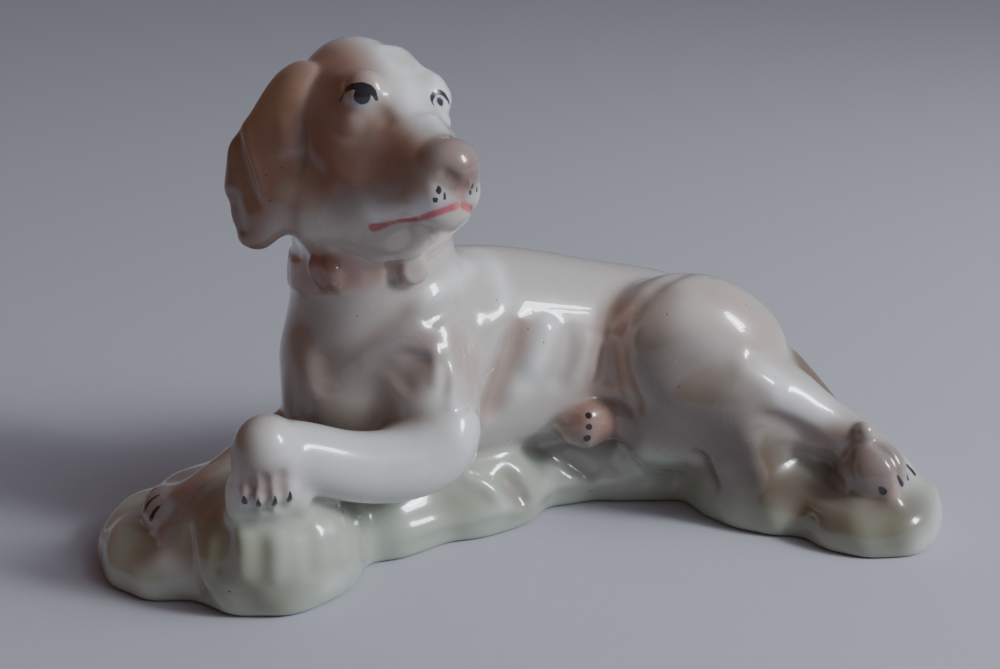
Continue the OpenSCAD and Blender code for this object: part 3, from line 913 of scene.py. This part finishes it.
# %% Spray the ears, the collar and the paws
for side, ear in ((-1, "ear_right"), (1, "ear_left")):
    for line, radius, code, amount in (
            ([(-20, 23, -8), (-18, 24, -20), (-14, 24, -32)], 6.0, DEEP, 0.6),
            ([(-5, 19, 4), (-5.6, 20.8, -2), (-5, 21, -7)], 2.6, TAN, 0.85),
            ([(0, 20, -22), (-2, 21, -29), (-4, 21, -35)], 3.4, PEARL, 0.8),
            ([(-14, 22, 2), (-12, 24, -4)], 5.0, TAN, 0.4),
            ([(-9, 24, -10), (-6, 24, -18)], 2.6, ROSE, 0.4)):
        spray(HEAD, [(x, y * side, z) for x, y, z in line], radius, code, amount, (ear,))
STRAP = ("collar", "collar_buckle", "collar_ring")
spray(FIGURE, [(-60, -8, 78), (-54, -15, 80), (-50, -16, 80)], 4.5, BROWN, 0.5, STRAP)
spray(FIGURE, [(-36.6, -17.6, 80)], 2.6, BROWN, 0.8, STRAP)
spray(FIGURE, [(-30, -18, 80), (-22, -12, 84), (-16, 0, 86)], 5.0, PEARL, 0.85, STRAP)
spray(FIGURE, [(-43, -17, 80)], 3.5, PEARL, 0.5, STRAP)
for i in range(3):
    spray(FIGURE, [(-74.7 + 3.9 * i, -40, 39.4), (-74.7 + 3.9 * i, -41, 35)], 2.4, BROWN,
          (0.95, 0.95, 0.7)[i])
spray(FIGURE, [(-72, -32, 50), (-75, -37, 43), (-70, -41, 36)], 6.0, SMOKE, 0.85, ("foreleg_left",))
spray(FIGURE, [(-92, -12, 23), (-86, -10, 26)], 3.5, BROWN, 0.8, ("foreleg_right",))
spray(FIGURE, [(12, -6, 28), (17, -8, 34), (23, -6, 28)], 5.0, ROSE, 0.55, ("hindleg_right", "body", "base"))
spray(FIGURE, [(85, -28, 26), (88, -33, 20), (93, -34, 23)], 8.0, TAUPE, 0.95, ("hindleg_left",))
spray(FIGURE, [(58, -20, 22), (66, -24, 17), (74, -29, 14)], 6.0, DEEP, 0.45, ("hindleg_left", "base"))
spray(FIGURE, [(-82, -34, 25), (-76, -38, 25.5), (-66, -39, 25.5), (-58, -35, 25)], 5.2, CELADON, 1.0,
      ("foreleg_left",))

# %% Let the colours run
RUNS = 9
for _ in range(RUNS):
    around = colour[quads].mean(1)
    total = np.zeros_like(colour)
    count = np.zeros(len(colour))
    for corner in range(4):
        np.add.at(total, quads[:, corner], around)
        np.add.at(count, quads[:, corner], 1)
    colour = total / np.maximum(count, 1)[:, None]
print("sprayed:", len(colour), "points")

# %% [markdown]
# On the glaze comes the fine brush: black for lids, pupils, whisker dots and claws, a grey iris and a red
# mouth. Every point of a line has its place and the half width of the brush there, all in millimetres.

# %% Paint the eyes, dots, claws and mouth
ink = np.full(len(places), UNPAINTED)
red = np.full(len(places), UNPAINTED)
grey = np.full(len(places), UNPAINTED)
brushed([
    (HEAD, [(8.6, -14.4, 1.5, 0.15), (9.8, -14.1, 3.9, 0.5), (11.9, -13.8, 5.6, 0.8),
            (14.4, -12.2, 6.4, 0.9), (15.9, -10.6, 5.8, 0.85), (16.9, -9.4, 3.6, 0.45)]),
    (HEAD, [(14.7, -12.2, 4.2, 2.05)]),
    (HEAD, [(18.7, 4.8, 1.6, 0.2), (18.1, 5.6, 4, 0.5), (16.8, 7.4, 5.6, 0.65), (15.6, 9.6, 5.1, 0.65),
            (14.6, 11.2, 3, 0.4)]),
    (HEAD, [(16.9, 8.4, 3.2, 1.15)]),
    (HEAD, [(38.1, -5.7, -13.2, 0.55), (38.1, -5.8, -14.0, 0.7)]),
    (HEAD, [(37.9, -6.2, -15.8, 0.75)]),
    (HEAD, [(38.8, -4.4, -14.5, 0.3), (38.8, -4.5, -15.4, 0.5)]),
    (HEAD, [(39.1, 3.0, -12.2, 0.4), (39.1, 3.0, -12.8, 0.6)]),
    (HEAD, [(39.3, 2.7, -14.2, 0.65)]),
    (HEAD, [(38.4, 4.9, -13.2, 0.3), (38.4, 4.9, -14.0, 0.4)]),
    (FIGURE, [(17, -8, 32.8, 1.0)]),
    (FIGURE, [(17, -8, 29.6, 0.95)]),
    (FIGURE, [(16.6, -8, 26.4, 1.05)]),
    (FIGURE, [(89.6, -35.6, 17.6, 0.6), (90.4, -36, 16.6, 1.0)]),
    (FIGURE, [(94, -34.4, 19.8, 0.4), (95.4, -35, 17.4, 0.7)]),
    (FIGURE, [(98.6, -31.6, 20, 0.4), (100.4, -32, 17, 0.7)]),
    (FIGURE, [(102, -27.6, 19, 0.4), (103.6, -28, 16, 0.7)]),
], ink)
for i in range(TOES):
    x = -76.4 + 3.85 * i
    top = 33.8 + 0.4 * (i == TOES - 1)
    brushed([(FIGURE, [(x, -41, top, 0.25), (x, -41, 32.2, 0.65), (x + 0.1, -41, 30.8, 0.75)])], ink)
for i in range(TOES):
    y = -16.4 + 3.8 * i
    brushed([(FIGURE, [(-96.4 - i * 0.4, y + 1.6, 21.6, 0.35), (-99.4 - i * 0.2, y, 18.4, 0.7)])], ink)
brushed([(HEAD, [(16.9, 8.3, 3.4, 2.0)]), (HEAD, [(14.4, -12.3, 3.8, 2.7)])], grey)
for side in (-1, 1):
    brushed([(HEAD, [(20.6, 10.2 * side, -25.9, 1.1), (22, 9.8 * side, -25.5, 0.85),
                     (25, 8.9 * side, -24.2, 0.45), (29, 7.8 * side, -22.7, 0.5),
                     (33, 7.2 * side, -21.3, 0.6), (36.9, 6.2 * side, -19.6, 0.75),
                     (38.8, 3.6 * side, -18.2, 0.8), (39.6, 1.2 * side, -17.2, 0.9)])], red)
print("brush marks:", int((ink < 0).sum()), "black points,", int((red < 0).sum()), "red")

# %% [markdown]
# The plinth and the trunk are closed by walls from each loop to a line through their middle. A wall must
# not break through the skin, so it first goes straight in and then to whichever end keeps it deepest: the
# line, the loop's own centre or the middle of its ends.

# %% Close a piece inside
# thickness of the inner skin, the first step of a wall and the steps that follow, in mm
SHELLS = {"head": 2.5, "ear_right": 1.5, "ear_left": 1.5, "foreleg_left": 2.5, "foreleg_right": 2.5,
          "hindleg_left": 2.5, "hindleg_right": 1.5, "tail": 1.5, "collar": 0.8, "collar_buckle": 0.6,
          "collar_ring": 0.5}
SPINES = {"body": ((-50, 6, 44), (76, 17, 32)), "base": ((-94, 12, 10), (96, 12, 10))}
WALL_START = 1.5
SINK_STEP = 0.8
SINK_STEPS = 5


def inner_line(name, spots):
    first_end, last_end = np.array(SPINES[name], float)
    share = np.clip((spots[:, 0] - first_end[0]) / (last_end[0] - first_end[0]), 0, 1)[:, None]
    return first_end * (1 - share) + last_end * share


def sunk(spots):
    for _ in range(SINK_STEPS):
        spots = spots - SINK_STEP * facing((spots - low) / VOXEL)
    return spots


def poke(starts, ends):
    shares = np.linspace(0, 1, 15)[:, None, None]
    spots = (starts * (1 - shares) + ends * shares).reshape(-1, 3)
    return float(sampled(clay, (spots - low) / VOXEL).max())


def closing(name, start):
    straight = inner_line(name, start)
    own = np.repeat(start.mean(0)[None], len(start), axis=0)
    hub = np.repeat(straight.mean(0)[None], len(start), axis=0)
    best = min((straight, own, hub), key=lambda ends: poke(start, ends))
    print(" ", name, "loop of", len(start), "shallowest wall at", round(poke(start, best), 2), "mm")
    return best


# %% [markdown]
# Every piece becomes a mesh with the skin's normals, its colour and its brush distances as attributes, and
# it stands for its casting from here on.

# %% One piece
def skin_of(name):
    faces = quads[label == names.index(name)]
    used, where = np.unique(faces, return_inverse=True)
    return used, where.reshape(-1, 4)


def linked(name, spots, faces, shading, used):
    mesh = bpy.data.meshes.new(name + "_glazed")
    mesh.from_pydata((spots / MM).tolist(), [], faces)
    mesh.update()
    mesh.shade_smooth()
    mesh.normals_split_custom_set_from_vertices(shading.tolist())
    tint = mesh.color_attributes.new("coat", "FLOAT_COLOR", "POINT")
    opaque = np.ones((len(used), 1))
    tint.data.foreach_set("color", np.hstack([colour[used], opaque]).astype(np.float32).ravel())
    for layer, values in (("ink", ink), ("red", red), ("grey", grey), ("pool", pool)):
        data = mesh.attributes.new(layer, "FLOAT", "POINT")
        data.data.foreach_set("value", values[used].astype(np.float32))
    piece = bpy.data.objects.new(name + "_glazed", mesh)
    bpy.context.scene.collection.objects.link(piece)
    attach(piece, "root")
    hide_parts(name)
    return piece


# %% [markdown]
# The small castings get an inner skin, joined to the outer one round each loop. Solidify would do the same,
# but it knows nothing of the brush distances. The two big ones get their walls ring by ring, and a fan at
# the end.

# %% Two ways to close a piece
def with_inner_skin(name, used, faces, loops):
    spots = places[used]
    shading = normals[used]
    size = len(used)
    polygons = faces.tolist() + (faces[:, ::-1] + size).tolist()
    for loop in loops:
        ring = loop[1:] + loop[:1]
        polygons += [(b, a, a + size, b + size) for a, b in zip(loop, ring)]
    spots = np.vstack([spots, spots - shading * SHELLS[name]])
    return spots, polygons, np.vstack([shading, -shading]), np.concatenate([used, used])


def with_walls(name, used, faces, loops):
    spots = places[used]
    shading = normals[used]
    polygons = faces.tolist()
    for loop in loops:
        rings = [spots[loop] - shading[loop] * WALL_START]
        rings.append(sunk(rings[0]))
        rings.append(closing(name, rings[1]))
        count = len(loop)
        last = list(loop)
        for ring in rings:
            following = list(range(len(spots), len(spots) + count))
            spots = np.vstack([spots, ring])
            shading = np.vstack([shading, shading[loop]])
            used = np.concatenate([used, used[loop]])
            polygons += [(last[(i + 1) % count], last[i], following[i], following[(i + 1) % count])
                         for i in range(count)]
            last = following
        polygons += [(last[0], last[i + 1], last[i]) for i in range(1, count - 1)]
    return spots, polygons, shading, used


# %% Build the pieces
pieces = {}
total = 0
for name in names:
    used, faces = skin_of(name)
    loops = rims(faces)
    closed = with_inner_skin if name in SHELLS else with_walls
    spots, polygons, shading, used = closed(name, used, faces, loops)
    pieces[name] = linked(name, spots, polygons, shading, used)
    triangles = sum(len(p) - 2 for p in polygons)
    total += triangles
print("figure:", total, "triangles")

# %% [markdown]
# ## Glaze and colour
# One porcelain glaze: the sprayed colour, a little darker where glaze pools and paler on the ridges, fine
# specks from the kiln, and the brush marks on top. A clear coat gives the sharp window reflections.

# %% One node at a time
# scales are cycles in a metre: clouds about 18 mm wide, grit about 1.7 mm, patches with specks about 11 mm
CLOUD = 55.0
GRIT = 600.0
PATCH = 90.0
# layer, where it starts and ends, how strong it gets, how it is laid on, and its colour
COATS = (
    ("pool", 0.0, -1.0, 0.50, "MIX", "A29589"),
    ("pool", 0.1, 1.4, 0.06, "MIX", "EEEFEE"),
    ("cloud", 0.5, 0.75, 0.22, "MULTIPLY", "CEC5BC"),
    ("fine", 0.4, 0.7, 0.10, "MULTIPLY", "F3F3F1"),
    ("speck", 0.0, 1.0, 1.00, "MIX", "4A3A30"),
    ("grey", 0.25, -0.25, 0.55, "MIX", "98A0A8"),
    ("red", 0.45, -0.3, 0.92, "MIX", "B4545A"),
    ("ink", 0.14, -0.14, 0.97, "MIX", "0E1118"),
)


def add(tree, kind, settings=None, links=None):
    node = tree.nodes.new(kind)
    for socket, value in (settings or {}).items():
        if isinstance(socket, str) and hasattr(node, socket):
            setattr(node, socket, value)
        else:
            node.inputs[socket].default_value = value
    for socket, source in (links or {}).items():
        tree.links.new(source, node.inputs[socket])
    return node


# %% [markdown]
# Glazed porcelain, with colour sprayed under a clear glaze and fired: the body is white and a little
# translucent, the glaze is glass (IOR 1.5) and nearly a mirror, and the colour under it has soft edges.
# Glaze of celadon, on the plinth, is the same glass with a little iron in it, and it lies thicker, so it is
# smoother and has more specks. Both are one recipe with two settings.

# %% The glaze
def glazed(name, roughness, speck_scale):
    material = bpy.data.materials.new(name)
    material.use_nodes = True
    tree = material.node_tree
    shader = tree.nodes["Principled BSDF"]
    where = add(tree, "ShaderNodeTexCoord").outputs["Object"]
    tone = add(tree, "ShaderNodeAttribute", {"attribute_name": "coat"}).outputs["Color"]
    layers = {}
    for layer in ("ink", "red", "grey", "pool"):
        layers[layer] = add(tree, "ShaderNodeAttribute", {"attribute_name": layer}).outputs["Fac"]
    layers["cloud"] = add(tree, "ShaderNodeTexNoise", {"Scale": CLOUD, "Detail": 3.0},
                          {"Vector": where}).outputs[0]
    layers["fine"] = add(tree, "ShaderNodeTexNoise", {"Scale": GRIT, "Detail": 2.0},
                         {"Vector": where}).outputs[0]
    dots = add(tree, "ShaderNodeTexVoronoi", {"Scale": speck_scale}, {"Vector": where}).outputs["Distance"]
    rare = add(tree, "ShaderNodeTexNoise", {"Scale": PATCH, "Detail": 0.0}, {"Vector": where}).outputs[0]
    dot = add(tree, "ShaderNodeMapRange", {1: 0.07, 2: 0.04}, {0: dots}).outputs[0]
    chance = add(tree, "ShaderNodeMapRange", {1: 0.60, 2: 0.64}, {0: rare}).outputs[0]
    layers["speck"] = add(tree, "ShaderNodeMath", {"operation": "MULTIPLY"}, {0: dot, 1: chance}).outputs[0]
    wobble = add(tree, "ShaderNodeMapRange", {1: 0.2, 2: 0.8, 3: -0.12, 4: 0.12},
                 {0: layers["fine"]}).outputs[0]
    layers["ink"] = add(tree, "ShaderNodeMath", {"operation": "ADD"},
                        {0: layers["ink"], 1: wobble}).outputs[0]
    for layer, start, end, share, kind, code in COATS:
        amount = add(tree, "ShaderNodeMapRange",
                     {"interpolation_type": "SMOOTHSTEP", 1: start, 2: end, 4: share},
                     {0: layers[layer]}).outputs[0]
        tone = add(tree, "ShaderNodeMix", {"data_type": "RGBA", "blend_type": kind, 7: (*srgb(code), 1)},
                   {0: amount, 6: tone}).outputs[2]
    tree.links.new(tone, shader.inputs["Base Color"])
    sheen = add(tree, "ShaderNodeMapRange", {1: 0.3, 2: 0.7, 3: roughness * 0.8, 4: roughness * 1.25},
                {0: layers["cloud"]}).outputs[0]
    tree.links.new(sheen, shader.inputs["Roughness"])
    shader.inputs["Coat Weight"].default_value = 1.0
    shader.inputs["Coat Roughness"].default_value = 0.015
    shader.inputs["Coat IOR"].default_value = 1.5
    shader.inputs["Subsurface Weight"].default_value = 0.12
    shader.inputs["Subsurface Scale"].default_value = 0.002
    ripple = add(tree, "ShaderNodeBump", {"Strength": 0.06, "Distance": 0.001},
                 {"Height": layers["cloud"]}).outputs[0]
    tree.links.new(ripple, shader.inputs["Coat Normal"])
    print(name, len(tree.nodes), "nodes")
    return material


# %% Glaze every piece
porcelain = glazed("glazed_porcelain", 0.28, 260.0)
celadon = glazed("celadon_glazed_porcelain", 0.22, 190.0)
for name, piece in pieces.items():
    piece.data.materials.append(celadon if name == "base" else porcelain)

print("glazed pieces:", len(pieces))

# %% [markdown]
# ## Table and light
# A sheet of pale paper, a soft sky-lit window from the right and a dim warm room on the left. The window's
# panes are what the glaze mirrors; the wide soft light behind them only lights the colour.

# %% Floor
bpy.ops.object.select_all(action="DESELECT")
bpy.ops.mesh.primitive_plane_add(size=6, location=(0, 0, 0))
floor = bpy.context.object
floor.name = "paper_floor"
paper = bpy.data.materials.new("matt_paper")
paper.use_nodes = True
tree = paper.node_tree
where = add(tree, "ShaderNodeTexCoord").outputs["Object"]
grain = add(tree, "ShaderNodeTexNoise", {"Scale": 240.0, "Detail": 3.0}, {"Vector": where}).outputs[0]
sheet = add(tree, "ShaderNodeMix", {"data_type": "RGBA", 6: (*srgb("B1B3BA"), 1), 7: (*srgb("B5B7BE"), 1)},
            {0: grain}).outputs[2]
tree.links.new(sheet, tree.nodes["Principled BSDF"].inputs["Base Color"])
tree.nodes["Principled BSDF"].inputs["Roughness"].default_value = 0.85
tree.nodes["Principled BSDF"].inputs["Specular IOR Level"].default_value = 0.2
floor.data.materials.append(paper)
print("floor:", floor.dimensions[0], "m wide")

# %% [markdown]
# The room is a gradient from warm on the left to cool on the right, so the glaze mirrors a room and not a
# void.

# %% Room
world = bpy.data.worlds.new("room")
bpy.context.scene.world = world
world.use_nodes = True
tree = world.node_tree
direction = add(tree, "ShaderNodeTexCoord").outputs["Generated"]
across = add(tree, "ShaderNodeSeparateXYZ", None, {0: direction}).outputs["X"]
side = add(tree, "ShaderNodeMapRange", {1: -0.7, 2: 0.7}, {0: across}).outputs[0]
tone = add(tree, "ShaderNodeMix", {"data_type": "RGBA", 6: (*srgb("865D46"), 1), 7: (*srgb("A6B0C4"), 1)},
           {0: side}).outputs[2]
tree.links.new(tone, tree.nodes["Background"].inputs["Color"])
tree.nodes["Background"].inputs["Strength"].default_value = 0.56
print("room light:", tree.nodes["Background"].inputs["Strength"].default_value)

# %% [markdown]
# Six small lamps in two columns are the window's panes. A large lamp behind them and a very soft sun give
# the sky's even light, but neither is mirrored, or they would cover the coat with one white sheet.

# %% Window
TARGET = (-0.003, 0.013, 0.05)
WINDOW = (0.9, -0.45, 0.75)
PANE_POWER = 1.7


def aim(thing, target):
    back = np.array(thing.location) - np.array(target)
    back /= np.linalg.norm(back)
    thing.rotation_euler = (math.acos(back[2]), 0, math.atan2(back[0], -back[1]))


def lamp(name, location, width, height, energy, tint, mirrored):
    bpy.ops.object.light_add(type="AREA", location=location)
    light = bpy.context.object
    light.name = name
    light.data.shape = "RECTANGLE"
    light.data.size = width
    light.data.size_y = height
    light.data.energy = energy
    light.data.color = srgb(tint)
    light.visible_glossy = mirrored
    aim(light, TARGET)


for row in range(3):
    for column in range(2):
        place = (0.82 + 0.08 * column, -0.44 - 0.15 * column, 0.52 + 0.145 * row)
        lamp(f"pane_{row}_{column}", place, 0.135, 0.12, PANE_POWER, "F4F8FF", True)
lamp("window_glow", WINDOW, 0.7, 0.9, 4.5, "E8EEFA", False)
bpy.ops.object.light_add(type="SUN", location=WINDOW)
sky = bpy.context.object
sky.name = "soft_sky"
sky.data.energy = 0.86
sky.data.angle = 0.9
sky.data.color = srgb("E6ECF6")
sky.visible_glossy = False
aim(sky, TARGET)
print("lights:", len(bpy.data.lights))

# %% [markdown]
# The camera stands a little to the dog's left and looks down on it, from about as far as one holds a
# figurine to look at it whole.

# %% Camera
DISTANCE = 0.38
AZIMUTH = -12
TILT = 20
HALF_VIEW = 20
HALF_SENSOR = 18
bpy.ops.object.camera_add()
camera = bpy.context.object
azimuth = math.radians(AZIMUTH)
tilt = math.radians(TILT)
back = (math.sin(azimuth) * math.cos(tilt), -math.cos(azimuth) * math.cos(tilt), math.sin(tilt))
camera.location = [t + DISTANCE * b for t, b in zip(TARGET, back)]
camera.data.lens = HALF_SENSOR / math.tan(math.radians(HALF_VIEW))
aim(camera, TARGET)
bpy.context.scene.camera = camera
print("lens:", round(camera.data.lens, 1), "mm")
